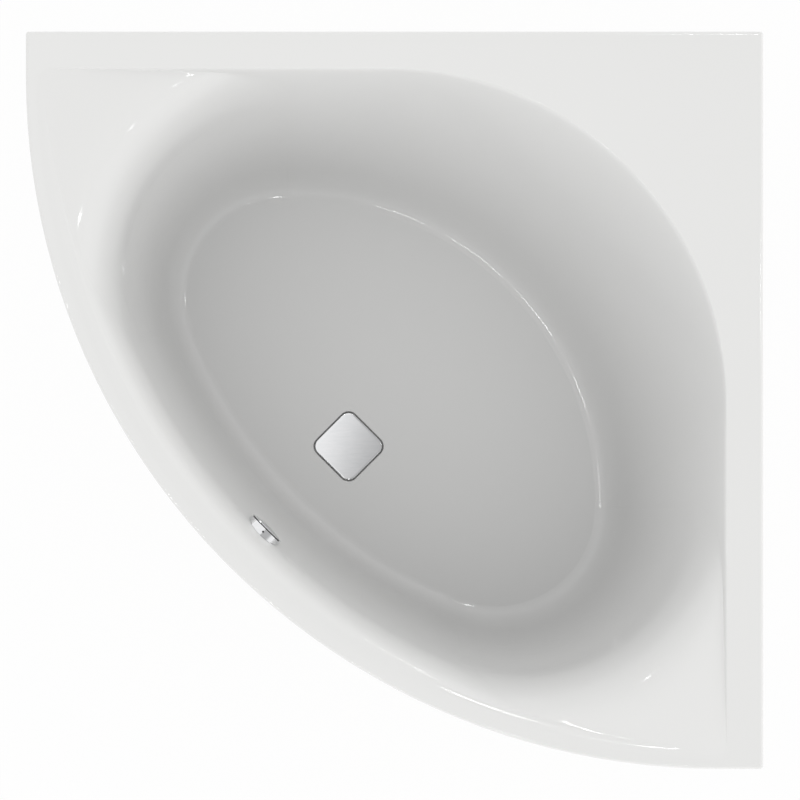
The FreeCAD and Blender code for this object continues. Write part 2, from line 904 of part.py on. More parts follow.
def lock_nuts():
    """Hexagon nuts tightened against the sleeves."""
    body = new_body("lock_nut_pattern")
    sketch = new_sketch(body, "XY_Plane")
    reach = size("lock_nut_flats") / math.sqrt(3)
    turns = [math.radians(60 * i) for i in range(6)]
    points = [(reach * round(math.cos(a), 6), reach * round(math.sin(a), 6)) for a in turns]
    draw_polygon(sketch, points)
    draw_circle(sketch, 0, 0, spindle_bore)
    add_pad(body, sketch, size("lock_nut_height"))
    low = sleeve_under - size("lock_nut_height")
    return group("lock_nuts", body, [diagonal_spot(u, v, low) for u, v in FEET])


def screw_groups():
    """Wood screws of the rails, the post plate and the wall brackets."""
    steel = size("steel")
    plate = size("plate_thickness")
    bracket = size("bracket_steel")
    rail = group("rail_screws", screw_pattern("rail_screw_pattern", steel),
                 [diagonal_spot(u, v, web_under) for u, v in RAIL_SCREWS])
    post = group("post_screws", screw_pattern("post_screw_pattern", plate),
                 [diagonal_spot(u, v, timber_under - plate) for u, v in post_screw_spots()])
    down = Vector(0, 0, -float(bracket))
    spots = [
        Placement(spot + down, Rotation())
        for wall, turn in BRACKET_WALLS
        for spot in bracket_screw_spots(wall)
    ]
    return [rail, post, group("bracket_screws", screw_pattern("bracket_screw_pattern", bracket), spots)]


# Sizes inside the waste
cup_inner = size("cup_radius") - size("cup_wall")
socket_radius = size("pipe_radius") + size("socket_wall")
pipe_bore = size("pipe_radius") + running_gap
pipe_way = size("pipe_radius") - size("pipe_wall")
port_z = cup_low + socket_radius + CLEAR
pivot_z = port_z + size("lever_shaft_radius")
swing = math.radians(float(size("lever_swing")))
lever_tip_radius = size("lever_shaft_radius") + CLEAR
lever_play = running_gap * 3
pivot_x = -(size("lever_arm") * math.cos(swing))
stem_low = pivot_z - size("lever_arm") * math.sin(swing) + lever_tip_radius + lever_play
cover_under = size("cover_proud") - size("cover_thickness")
valve_under = cover_under - size("valve_thickness")
BOSS_SHARE = 0.55
boss_start = cup_inner * BOSS_SHARE
boss_end = size("cup_radius") + STEP
GLAND_SHARE = 1.8
gland_radius = size("cable_radius") * GLAND_SHARE
gland_bore = size("cable_radius") + running_gap * 2
gland_length = size("cable_radius") * 4
cable_end = size("housing_radius") + STEP
ALONG_X = Vector(1, 0, 0)
ALONG_Y = Vector(0, 1, 0)


def at_waste(piece, turn=Rotation()):
    return place(piece, waste_u, 0, floor_top, turn)


def waste_flange():
    """Steel flange with its neck and a three-armed guide for the plug stem."""
    neck = size("neck_radius")
    bore = neck - size("neck_wall")
    ring = turned("flange_ring", [
        (bore, neck_low), (neck, neck_low), (neck, flange_low), (size("flange_radius"), flange_low),
        (size("flange_radius"), flange_top), (bore, flange_top),
    ])
    arm = size("neck_wall")
    guide = rod(size("stem_radius") * 2, arm * 2, 0, 0, neck_low)
    arms = []
    for i in range(3):
        bar = box(bore + arm / 2, arm, arm * 2, 0, -arm / 2, neck_low)
        holder = joined(f"guide_arm_{i + 1}", [bar, guide])
        holder.Placement = Placement(Vector(), Rotation(UP, 120 * i))
        arms.append(holder)
    stem_hole = rod(size("stem_radius") + running_gap, arm * 4, 0, 0, neck_low - arm)
    return at_waste(drilled("waste_flange", joined("flange_blank", [ring] + arms), [stem_hole]))


LOWER_SEAL_SHARE = 1.2
BODY_RIM_SHARE = 1.3
CRANK_SHARE = 0.6


def waste_seals():
    hole = size("waste_hole_radius")
    upper_radius = size("flange_radius") - CLEAR
    upper = turned("waste_seal_upper", ring_points(hole, upper_radius, recess_floor, flange_low))
    lower_radius = size("cup_radius") * LOWER_SEAL_SHARE
    lower_top = body_top + size("thick_seal")
    lower = turned("waste_seal_lower", ring_points(hole, lower_radius, body_top, lower_top))
    return [at_waste(upper), at_waste(lower)]


def waste_body():
    """Moulded cup under the bath: collar, overflow port, lever bearing and outlet tube."""
    outer = size("cup_radius")
    wall = size("cup_wall")
    dip = size("dip_radius")
    rim = outer * BODY_RIM_SHARE
    cup = turned("waste_cup", [
        (0, body_top), (rim, body_top), (rim, body_top - wall), (outer, body_top - wall),
        (outer, cup_low), (dip, cup_low), (dip, dip_low), (0, dip_low),
    ])
    reach = outer + size("socket_length") + wall
    port = rod(socket_radius, reach - cup_inner / 2, cup_inner / 2, 0, port_z, ALONG_X)
    boss_radius = size("lever_shaft_radius") + wall
    boss = rod(boss_radius, boss_end - boss_start, pivot_x, boss_start, pivot_z, ALONG_Y)
    room_low = cup_low + wall
    tools = [
        rod(size("neck_radius") + running_gap, size("collar_height") + 2, 0, 0, collar_low - 1),
        rod(cup_inner, collar_low - room_low, 0, 0, room_low),
        rod(dip - wall, room_low - dip_low + 2, 0, 0, dip_low - 1),
        rod(pipe_bore, size("socket_length") + 1, reach - size("socket_length"), 0, port_z, ALONG_X),
        rod(pipe_way, reach - cup_inner / 2, cup_inner / 2, 0, port_z, ALONG_X),
        rod(size("lever_shaft_radius") + running_gap, outer * 2, pivot_x, 0, pivot_z, ALONG_Y),
    ]
    return at_waste(drilled("waste_body", joined("waste_blank", [cup, port, boss]), tools))


def plug():
    """Square chrome cover, valve plate with its stem, and the seal ring."""
    cover = new_body("plug_cover")
    side = size("recess_side") - size("cover_gap") * 2
    half = side / 2
    sketch = new_sketch(cover, "XY_Plane")
    draw_polygon(sketch, [(-half, -half), (half, -half), (half, half), (-half, half)])
    slab = add_pad(cover, sketch, size("cover_thickness"))
    corner = size("recess_corner") - size("cover_gap")
    upright = add_fillet(cover, slab, corner, lambda edge: edge.BoundBox.ZLength > CLEAR)
    top = float(size("cover_thickness"))
    add_fillet(cover, upright, size("cover_proud"), lambda edge: edge.BoundBox.ZMin > top - 0.1)
    place(cover, waste_u, 0, floor_top + cover_under)
    stem = size("stem_radius")
    valve = turned("plug_valve", [
        (0, stem_low), (stem, stem_low), (stem, valve_under), (size("valve_radius"), valve_under),
        (size("valve_radius"), cover_under), (0, cover_under),
    ])
    inner = size("neck_radius") - size("neck_wall") + CLEAR
    seal_low = flange_top + running_gap * 2
    seal = turned("plug_seal", ring_points(inner, size("valve_radius"), seal_low, valve_under))
    return [cover, at_waste(valve), at_waste(seal)]


def lift_lever():
    """Shaft with the arm that lifts the plug and the crank that the cable turns."""
    shaft = size("lever_shaft_radius")
    arm = size("lever_arm")
    half = shaft + CLEAR
    crank_y = boss_end + size("housing_depth") / 2
    pieces = [
        box(arm, half * 2, shaft * 2, 0, -half, -shaft),
        rod(half + 1, half * 2, 0, -half, 0, ALONG_Y),
        rod(lever_tip_radius, half * 2, arm, -half, 0, ALONG_Y),
        rod(shaft, half + crank_y + shaft, 0, -half, 0, ALONG_Y),
        box(size("housing_radius") * CRANK_SHARE, shaft, shaft * 2, 0, crank_y - shaft / 2, -shaft),
    ]
    lever = joined("lift_lever", pieces)
    turn = Rotation(ALONG_Y, float(size("lever_swing")))
    return place(lever, waste_u + float(pivot_x), 0, floor_top + pivot_z, turn)


def lever_housing():
    """Closed case of the crank, with a socket for the cable, and its lid."""
    shaft_hole = size("lever_shaft_radius") + running_gap * 2
    outer = size("housing_radius")
    depth = size("housing_depth")
    wall = size("socket_wall")
    case = turned("housing_case", [
        (shaft_hole, 0), (outer, 0), (outer, depth),
        (outer - wall, depth), (outer - wall, wall), (shaft_hole, wall),
    ])
    gland = rod(gland_radius, gland_length, outer - wall / 2, 0, depth / 2, ALONG_X)
    bore = rod(gland_bore, gland_length, cable_end, 0, depth / 2, ALONG_X)
    housing = drilled("lever_housing", joined("housing_blank", [case, gland]), [bore])
    lid = turned("housing_lid", [(0, depth), (outer, depth), (outer, depth + wall), (0, depth + wall)])
    sideways = Rotation(Vector(1, 0, 0), -90)
    spot = (waste_u + float(pivot_x), float(boss_end), floor_top + pivot_z)
    return [place(housing, *spot, sideways), place(lid, *spot, sideways)]


# Distances along the overflow axis, into the basin
seat_back = -size("overflow_seat")
flange_back = seat_back - size("cup_wall")
overflow_cup_back = flange_back - size("overflow_cup_depth")
drum_wall = overflow_cup_back - size("cup_wall")
drum_depth = size("cable_radius") * 4 + STEP
drum_back = drum_wall - drum_depth
drum_middle = drum_wall - drum_depth / 2
spigot_z = flange_back - size("overflow_cup_depth") / 2
drum_inner = size("housing_radius")
drum_outer = drum_inner + size("socket_wall")
rosette_bore = size("overflow_hole_radius") + size("socket_wall")
rosette_front = size("rosette_lip") + rosette_bore * wall_lean
knob_back = rosette_front + size("knob_gap")
knob_front = knob_back + size("knob_thickness")
shaft_bore = size("stem_radius") + running_gap
spigot_low = size("overflow_cup_radius") + size("socket_length") + size("socket_wall") * 2


def at_overflow(piece, turn=Rotation()):
    return place(piece, overflow_u, 0, overflow_z, OVERFLOW_TURN * turn)


def overflow_rosette(cavity):
    """Chrome collar that follows the slope of the front wall, with a grub screw hole on top."""
    outer = float(size("overflow_radius"))
    inner = float(rosette_bore)
    front = overflow_u - float(rosette_front)
    back = overflow_u + WALL_SLAB / 2
    middle = diagonal_point(overflow_u, 0, overflow_z)
    grub_hole = Part.makeCylinder(float(size("grub_hole_radius")), outer, middle)
    opening = level_bar(inner, front, back, overflow_z)
    ring = level_bar(outer, front, back, overflow_z).cut([opening, grub_hole])
    return shaped("overflow_rosette", ring.common(moved_along(cavity, -WALL_PLAY)))


def overflow_gasket(outside):
    """Wedge of rubber between the sloping wall and the upright body."""
    outer = float(size("overflow_radius")) - STEP
    inner = float(size("overflow_hole_radius")) + CLEAR
    back = overflow_u - float(seat_back)
    front = overflow_u - float(acrylic)
    ring = level_bar(outer, front, back, overflow_z).cut(level_bar(inner, front, back, overflow_z))
    return shaped("overflow_gasket", ring.cut(moved_along(outside, WALL_PLAY)))


def overflow_knob():
    """Turning knob with a domed face, its shaft and the cable drum."""
    outer = size("overflow_radius") - CLEAR
    dome = size("knob_thickness") - size("knob_edge")
    shares = [1 - step / DOME_STEPS for step in range(DOME_STEPS + 1)]
    face = [(outer * share, knob_front - dome * share ** 2) for share in shares]
    knob = turned("overflow_knob", [(0, knob_back), (outer, knob_back)] + face)
    drum_start = drum_back + STEP
    shaft = turned("knob_shaft", [
        (0, drum_start), (size("stem_radius"), drum_start), (size("stem_radius"), knob_back), (0, knob_back),
    ])
    drum = turned("cable_drum", ring_points(size("stem_radius") + running_gap / 2, drum_inner - STEP,
                                            drum_start, drum_wall - STEP))
    return [at_overflow(knob), at_overflow(shaft), at_overflow(drum)]


def overflow_body():
    """Moulded case outside the wall: flange, water cup, pipe socket and drum case with its lid."""
    cup = size("overflow_cup_radius")
    inner = cup - size("cup_wall")
    flange = size("overflow_radius") - CLEAR
    case = turned("overflow_case", [
        (0, seat_back), (flange, seat_back), (flange, flange_back), (cup, flange_back), (cup, drum_wall),
        (drum_outer, drum_wall), (drum_outer, drum_back), (0, drum_back),
    ])
    down = -ALONG_X
    socket = size("socket_length")
    spigot = rod(socket_radius, spigot_low - inner / 2, -(inner / 2), 0, spigot_z, down)
    gland = rod(gland_radius, gland_length, -(drum_inner + CLEAR), 0, drum_middle, down)
    tools = [
        rod(inner, seat_back - overflow_cup_back + CLEAR, 0, 0, overflow_cup_back),
        rod(shaft_bore, size("cup_wall") + 2 * CLEAR, 0, 0, drum_wall - CLEAR),
        rod(drum_inner, drum_depth + CLEAR, 0, 0, drum_back - CLEAR),
        rod(pipe_bore, socket + CLEAR, -(spigot_low - socket), 0, spigot_z, down),
        rod(pipe_way, spigot_low - inner / 2, -(inner / 2), 0, spigot_z, down),
        rod(gland_bore, gland_length, -cable_end, 0, drum_middle, down),
    ]
    body = drilled("overflow_body", joined("overflow_blank", [case, spigot, gland]), tools)
    lid_back = drum_back - size("socket_wall")
    lid = turned("drum_lid", [(0, lid_back), (drum_outer, lid_back), (drum_outer, drum_back), (0, drum_back)])
    return [at_overflow(body), at_overflow(lid)]


def rounded_path(points, radii):
    """Straight runs joined by tangent arcs, one radius for each inner point."""
    edges = []
    start = points[0]
    for before, corner, after, radius in zip(points, points[1:], points[2:], radii):
        back = (before - corner).normalize()
        ahead = (after - corner).normalize()
        half = back.getAngle(ahead) / 2
        first = corner + back * (radius / math.tan(half))
        last = corner + ahead * (radius / math.tan(half))
        inward = (back + ahead).normalize()
        top = corner + inward * (radius / math.sin(half) - radius)
        edges.append(Part.LineSegment(start, first).toShape())
        edges.append(Part.Arc(first, top, last).toShape())
        start = last
    edges.append(Part.LineSegment(start, points[-1]).toShape())
    return Part.Wire(edges)


def swept_bar(path, radius):
    """A round bar along a path."""
    first = path.Edges[0]
    start = first.valueAt(first.FirstParameter)
    along = first.tangentAt(first.FirstParameter)
    section = Part.Wire(Part.Circle(start, along, radius).toShape())
    bar = path.makePipeShell([section], True, False)
    expected = math.pi * radius ** 2 * path.Length
    if abs(bar.Volume - expected) > expected / 100:
        raise ValueError("the swept bar has the wrong volume")
    return bar


pipe_u = overflow_u - float(spigot_z)
pipe_z = float(floor_top + port_z)
pipe_top = overflow_z - float(spigot_low) + float(size("socket_length")) - CLEAR
port_reach = float(size("cup_radius") + size("socket_length") + size("cup_wall"))
pipe_end_u = waste_u + port_reach - float(size("socket_length")) + CLEAR


def overflow_pipe():
    """Pipe from the overflow down to the waste, in one bend."""
    points = [
        diagonal_point(pipe_u, 0, pipe_top),
        diagonal_point(pipe_u, 0, pipe_z),
        diagonal_point(pipe_end_u, 0, pipe_z),
    ]
    path = rounded_path(points, [float(size("pipe_bend"))])
    outer = float(size("pipe_radius"))
    inner = outer - float(size("pipe_wall"))
    return shaped("overflow_pipe", swept_bar(path, outer).cut(swept_bar(path, inner)))


NUT_LIP_SHARE = 0.6


def pipe_nuts():
    """Union nuts over the two sockets of the overflow pipe."""
    outer = socket_radius + size("nut_wall")
    inner = socket_radius + running_gap * 2
    length = size("nut_length")
    lip = length * NUT_LIP_SHARE
    points = [
        (inner, 0), (outer, 0), (outer, length), (pipe_bore, length), (pipe_bore, lip), (inner, lip),
    ]
    seat = float(lip) - CABLE_PLAY
    top = turned("pipe_nut_top", points)
    low_end = overflow_z - float(spigot_low)
    place(top, pipe_u, 0, low_end + seat, Rotation(Vector(1, 0, 0), 180))
    bottom = turned("pipe_nut_bottom", points)
    place(bottom, waste_u + port_reach - seat, 0, pipe_z, Rotation(ALONG_Y, 90))
    return [top, bottom]


cable_u = overflow_u - float(drum_middle)
cable_z = pipe_z - float(size("cable_offset"))
cable_v = float(boss_end + size("housing_depth") / 2)
CABLE_TURN_U = 104
CABLE_RISE_U = 49


def control_cable():
    """Sheathed cable from the knob's drum to the lever's crank, beside the overflow pipe."""
    lever_z = float(floor_top + pivot_z)
    bend = float(size("pipe_bend") + size("cable_offset"))
    points = [
        diagonal_point(cable_u, 0, overflow_z - float(cable_end) - CABLE_PLAY),
        diagonal_point(cable_u, 0, cable_z),
        diagonal_point(waste_u + CABLE_TURN_U, 0, cable_z),
        diagonal_point(waste_u + CABLE_RISE_U, cable_v, lever_z),
        diagonal_point(waste_u + float(pivot_x + cable_end) + CABLE_PLAY, cable_v, lever_z),
    ]
    radius = float(size("cable_bend"))
    path = rounded_path(points, [bend, radius, radius])
    return shaped("control_cable", swept_bar(path, float(size("cable_radius"))))


CLIP_SHARES = (0.25, 0.75)


def cable_clips():
    """Moulded clips that hold the cable to the upright run of the pipe."""
    pipe = float(size("pipe_radius"))
    cable = float(size("cable_radius"))
    gap = float(running_gap)
    wall = float(size("steel"))
    apart = cable_u - pipe_u
    height = 4 * cable
    across = Part.makeCylinder(pipe + gap + wall, height)
    small = Part.makeCylinder(cable + gap + wall, height, Vector(apart, 0, 0))
    web = Part.makeBox(apart, 2 * wall, height, Vector(0, -wall, 0))
    blank = across.fuse([small, web])
    clip = blank.cut([
        Part.makeCylinder(pipe + gap, height),
        Part.makeCylinder(cable + gap, height, Vector(apart, 0, 0)),
    ])
    low = pipe_z + float(size("pipe_bend"))
    high = overflow_z - float(spigot_low) - float(size("nut_length"))
    copies = []
    for share in CLIP_SHARES:
        copy = clip.copy()
        copy.Placement = diagonal_spot(pipe_u, 0, low + (high - low) * share)
        copies.append(copy)
    return shaped("cable_clips", Part.makeCompound(copies))


# Sizes of the trap
CAP_SHARE = 0.65
outlet_z = trap_top - size("outlet_radius") - size("trap_wall")
dip_bore = size("dip_radius") + running_gap * 2
collar_radius = size("dip_radius") + size("trap_wall") * 2
spigot_reach = size("trap_radius") + size("spigot_beyond")


def trap():
    """Drum trap with its union nut and cleaning cap."""
    wall = size("trap_wall")
    drum = size("trap_radius")
    cap = drum * CAP_SHARE
    case = turned("trap_case", [
        (0, collar_top), (collar_radius, collar_top), (collar_radius, trap_top), (drum, trap_top),
        (drum, trap_low), (0, trap_low),
    ])
    back = -ALONG_X
    inner = drum - wall
    spigot = rod(size("outlet_radius"), spigot_reach - inner / 2, -(inner / 2), 0, outlet_z, back)
    tools = [
        rod(inner, size("trap_height") - wall * 2, 0, 0, trap_low + wall),
        rod(dip_bore, collar_top - trap_top + wall + 2 * CLEAR, 0, 0, trap_top - wall - CLEAR),
        rod(cap + running_gap * 2, wall + 2 * CLEAR, 0, 0, trap_low - CLEAR),
        rod(size("outlet_radius") - wall, spigot_reach, -(inner / 2), 0, outlet_z, back),
    ]
    body = drilled("trap_body", joined("trap_blank", [case, spigot]), tools)
    nut_outer = collar_radius + size("nut_wall")
    nut_inner = collar_radius + running_gap * 2
    lip = collar_top + running_gap * 2
    nut = turned("trap_nut", [
        (dip_bore, lip), (nut_inner, lip), (nut_inner, trap_top + STEP), (nut_outer, trap_top + STEP),
        (nut_outer, nut_top), (dip_bore, nut_top),
    ])
    plug_cap = turned("trap_cap", [
        (0, cap_low), (cap + wall * 2, cap_low), (cap + wall * 2, trap_low),
        (cap, trap_low), (cap, trap_low + wall * 2), (0, trap_low + wall * 2),
    ])
    return [at_waste(body), at_waste(nut), at_waste(plug_cap)]


def outlet():
    """Drain pipe and the coupling that holds it to the trap."""
    outer = size("outlet_radius")
    start = spigot_reach + running_gap * 5
    half = size("coupling_length") / 2
    held = spigot_reach + half + CLEAR
    bore = outer - size("trap_wall")
    pipe = turned("outlet_pipe", [
        (bore, start), (outer - running_gap * 4, start), (outer - running_gap * 4, held), (outer, held),
        (outer, size("outlet_length")), (bore, size("outlet_length")),
    ])
    coupling = turned("outlet_coupling", ring_points(outer + running_gap * 2, outer + size("nut_wall"),
                                                     spigot_reach - half, spigot_reach + half))
    back = Rotation(ALONG_Y, -90)
    for piece in (pipe, coupling):
        place(piece, waste_u, 0, floor_top + outlet_z, back)
    return [pipe, coupling]


# Build every piece
cavity = basin_solid(0, 0)
outside = basin_solid(float(acrylic), float(acrylic - size("rim_lap")))
nodes = [
    acrylic_shell(cavity, outside),
    glass_fibre_backing(),
    base_board(),
    support_rail("support_rail_left", -1),
    support_rail("support_rail_right", 1),
    corner_post(),
    post_top_plate(),
    corner_board(),
    rim_batten("back"),
    rim_batten("right"),
    threaded_sleeves(),
    lock_nuts(),
    waste_flange(),
    waste_body(),
    lift_lever(),
    overflow_rosette(cavity),
    overflow_gasket(outside),
    overflow_pipe(),
    control_cable(),
    cable_clips(),
]
for number, (u, v) in enumerate(FEET, start=1):
    nodes += foot(number, u, v)
for number, spot in enumerate(bracket_spots(), start=1):
    nodes.append(wall_bracket(f"wall_bracket_{number}", *spot))
FAMILIES = (
    screw_groups, waste_seals, plug, lever_housing, overflow_knob, overflow_body, pipe_nuts, trap, outlet,
)
for family in FAMILIES:
    nodes += family()
doc.recompute()

# Check every object before anything is written
for item in doc.Objects:
    if "Invalid" in item.State or "Error" in item.State:
        raise ValueError(f"{item.Label} could not be worked out")
for node in nodes:
    if not node.Shape.Solids or not node.Shape.isValid():
        raise ValueError(f"{node.Label} has no valid shape")
for node in nodes:
    node.Shape.exportStep(f"parts/{node.Label}.step")
    solids = len(node.Shape.Solids)
    print(f"{node.Label}: {solids} solid, {node.Shape.Volume / 1000:.1f} cm3")
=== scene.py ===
import json
import math

import bmesh
import bpy
from mathutils import Matrix, Vector


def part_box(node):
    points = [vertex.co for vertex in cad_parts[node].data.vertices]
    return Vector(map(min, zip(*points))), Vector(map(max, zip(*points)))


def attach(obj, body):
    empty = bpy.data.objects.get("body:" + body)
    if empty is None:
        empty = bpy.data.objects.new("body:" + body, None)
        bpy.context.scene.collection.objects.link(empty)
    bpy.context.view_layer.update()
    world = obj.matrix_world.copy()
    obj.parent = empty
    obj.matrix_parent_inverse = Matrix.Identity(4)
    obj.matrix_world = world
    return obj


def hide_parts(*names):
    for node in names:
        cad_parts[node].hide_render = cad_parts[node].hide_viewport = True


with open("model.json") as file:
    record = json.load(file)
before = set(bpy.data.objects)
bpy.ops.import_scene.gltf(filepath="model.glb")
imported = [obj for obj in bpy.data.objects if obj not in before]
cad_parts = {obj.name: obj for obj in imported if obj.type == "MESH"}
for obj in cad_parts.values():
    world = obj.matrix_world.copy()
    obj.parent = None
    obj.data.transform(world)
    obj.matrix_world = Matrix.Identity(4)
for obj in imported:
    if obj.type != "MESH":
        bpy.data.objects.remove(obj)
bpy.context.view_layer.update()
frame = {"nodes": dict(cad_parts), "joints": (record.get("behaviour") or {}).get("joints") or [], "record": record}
nodes = frame["nodes"]
joints = {joint["name"]: joint for joint in frame["joints"]}

# Sizes of new pieces are in millimetres, and MM turns them into metres
MM = 0.001
WELD_DISTANCE = 0.00001
SMOOTH_ANGLE = math.radians(32)
ROUND_PROFILE = 0.5
DIAGONAL_TURN = Matrix.Rotation(math.radians(225), 4, "Z")
UPWARDS = Vector((0, 0, 1))
TOWARDS_FRONT = Vector((-1, -1, 0)).normalized()


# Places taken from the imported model
def middle(node):
    """Centre of a node's box."""
    low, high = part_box(node)
    return (low + high) / 2


knob_place = Vector(joints["knob_turn"]["pos_m"])
knob_axis = Vector(joints["knob_turn"]["axis"])
rim_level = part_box("acrylic_shell")[1].z
floor_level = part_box("foot_pad_1")[0].z


# Ways to shape
def finish_piece(name, shape, material, body, replaced=(), sharp=SMOOTH_ANGLE):
    """Turn a shape into a piece that rides on a body and stands for its nodes."""
    bmesh.ops.remove_doubles(shape, verts=shape.verts, dist=WELD_DISTANCE)
    bmesh.ops.recalc_face_normals(shape, faces=shape.faces)
    for face in shape.faces:
        face.smooth = True
    mesh = bpy.data.meshes.new(name)
    shape.to_mesh(mesh)
    shape.free()
    mesh.set_sharp_from_angle(angle=sharp)
    piece = bpy.data.objects.new(name, mesh)
    bpy.context.scene.collection.objects.link(piece)
    mesh.materials.append(material)
    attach(piece, body)
    if replaced:
        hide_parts(*replaced)


def spun(outline, steps, closed=False):
    """A new shape, spun about Z from an outline of radius and height points."""
    shape = bmesh.new()
    corners = [shape.verts.new((radius * MM, 0, height * MM)) for radius, height in outline]
    pairs = list(zip(corners, corners[1:]))
    if closed:
        pairs.append((corners[-1], corners[0]))
    edges = [shape.edges.new(pair) for pair in pairs]
    bmesh.ops.spin(shape, geom=corners + edges, cent=(0, 0, 0), axis=UPWARDS, angle=2 * math.pi, steps=steps,
                   use_merge=True)
    return shape


def rounded(shape, edges, offset, steps):
    """Round some edges of a shape."""
    bmesh.ops.bevel(shape, geom=edges, offset=offset * MM, segments=steps, profile=ROUND_PROFILE,
                    affect="EDGES", material=-1)


def put(shape, place, turn=Matrix.Identity(4)):
    """Move a whole shape from its own axis to its place on the bath."""
    bmesh.ops.transform(shape, matrix=Matrix.Translation(place) @ turn, verts=shape.verts)


def facing_along(axis):
    """Turn that lays a shape's own Z along an axis."""
    return axis.to_track_quat("Z", "Y").to_matrix().to_4x4()


# Ways to build node trees
def new_node(tree, kind, **values):
    """A node with its properties and input values set by name."""
    node = tree.nodes.new(kind)
    for label, value in values.items():
        if hasattr(node, label):
            setattr(node, label, value)
        else:
            node.inputs[label.replace("_", " ")].default_value = value
    return node


def feed(tree, socket, value):
    """Link an output to a socket, or set the socket to a plain value or colour."""
    if isinstance(value, bpy.types.NodeSocket):
        tree.links.new(value, socket)
    elif socket.type == "RGBA":
        socket.default_value = (*value, 1.0)
    else:
        socket.default_value = value


def calculated(tree, operation, *values, clamp=False):
    """Result of a math node."""
    node = new_node(tree, "ShaderNodeMath", operation=operation, use_clamp=clamp)
    for socket, value in zip(node.inputs, values):
        feed(tree, socket, value)
    return node.outputs["Value"]


def ranged(tree, value, start=0.0, end=1.0, first=0.0, last=1.0, kind="LINEAR"):
    """A value carried from the range start to end into the range first to last."""
    node = new_node(tree, "ShaderNodeMapRange", interpolation_type=kind)
    feed(tree, node.inputs["Value"], value)
    feed(tree, node.inputs["From Min"], start)
    feed(tree, node.inputs["From Max"], end)
    feed(tree, node.inputs["To Min"], first)
    feed(tree, node.inputs["To Max"], last)
    return node.outputs["Result"]


def colour_socket(sockets, label):
    """The colour one among a mix node's sockets of the same name."""
    return next(socket for socket in sockets if socket.name == label and socket.type == "RGBA")


def mixed_shader(tree, mask, first, second):
    """Output of a shader that passes from the first to the second where the mask is 1."""
    blend = tree.nodes.new("ShaderNodeMixShader")
    tree.links.new(mask, blend.inputs["Fac"])
    tree.links.new(first, blend.inputs[1])
    tree.links.new(second, blend.inputs[2])
    return blend.outputs["Shader"]


# Shared effects
GRAIN_DETAIL = 6.0
GRAIN_ROUGHNESS = 0.6
GRAIN_INPUTS = ("Scale", "Across X", "Across Y", "Across Z", "Contrast")
MIDDLE_TONE = 0.5
UNDERSIDE_START = 0.02
UNDERSIDE_FULL = 0.2
UPRIGHT_START = 0.5
UPRIGHT_FULL = 0.3


def make_grain_group():
    """Noise drawn out along the axes, as a mask between 0 and 1."""
    group = bpy.data.node_groups.new("drawn_grain", "ShaderNodeTree")
    for label in GRAIN_INPUTS:
        socket = group.interface.new_socket(name=label, in_out="INPUT", socket_type="NodeSocketFloat")
        socket.default_value = 1.0
    group.interface.new_socket(name="Mask", in_out="OUTPUT", socket_type="NodeSocketFloat")
    enter = group.nodes.new("NodeGroupInput")
    leave = group.nodes.new("NodeGroupOutput")
    coords = group.nodes.new("ShaderNodeTexCoord")
    stretch = group.nodes.new("ShaderNodeCombineXYZ")
    mapping = group.nodes.new("ShaderNodeMapping")
    noise = new_node(group, "ShaderNodeTexNoise", Detail=GRAIN_DETAIL, Roughness=GRAIN_ROUGHNESS)
    for axis in "XYZ":
        group.links.new(enter.outputs[f"Across {axis}"], stretch.inputs[axis])
    group.links.new(coords.outputs["Object"], mapping.inputs["Vector"])
    group.links.new(stretch.outputs["Vector"], mapping.inputs["Scale"])
    group.links.new(mapping.outputs["Vector"], noise.inputs["Vector"])
    group.links.new(enter.outputs["Scale"], noise.inputs["Scale"])
    contrast = enter.outputs["Contrast"]
    shift = calculated(group, "MULTIPLY_ADD", contrast, -MIDDLE_TONE, MIDDLE_TONE)
    mask = calculated(group, "MULTIPLY_ADD", noise.outputs["Fac"], contrast, shift, clamp=True)
    group.links.new(mask, leave.inputs["Mask"])
    return group


def make_facing_group():
    """Mask of the faces that look down, and of those that stand upright."""
    group = bpy.data.node_groups.new("facing", "ShaderNodeTree")
    for label in ("Underside", "Upright"):
        group.interface.new_socket(name=label, in_out="OUTPUT", socket_type="NodeSocketFloat")
    leave = group.nodes.new("NodeGroupOutput")
    geometry = group.nodes.new("ShaderNodeNewGeometry")
    split = group.nodes.new("ShaderNodeSeparateXYZ")
    group.links.new(geometry.outputs["Normal"], split.inputs["Vector"])
    rise = split.outputs["Z"]
    fall = calculated(group, "MULTIPLY", rise, -1.0)
    slope = calculated(group, "ABSOLUTE", rise)
    underside = ranged(group, fall, UNDERSIDE_START, UNDERSIDE_FULL, kind="SMOOTHSTEP")
    upright = ranged(group, slope, UPRIGHT_START, UPRIGHT_FULL, kind="SMOOTHSTEP")
    group.links.new(underside, leave.inputs["Underside"])
    group.links.new(upright, leave.inputs["Upright"])
    return group


grain_group = make_grain_group()
facing_group = make_facing_group()


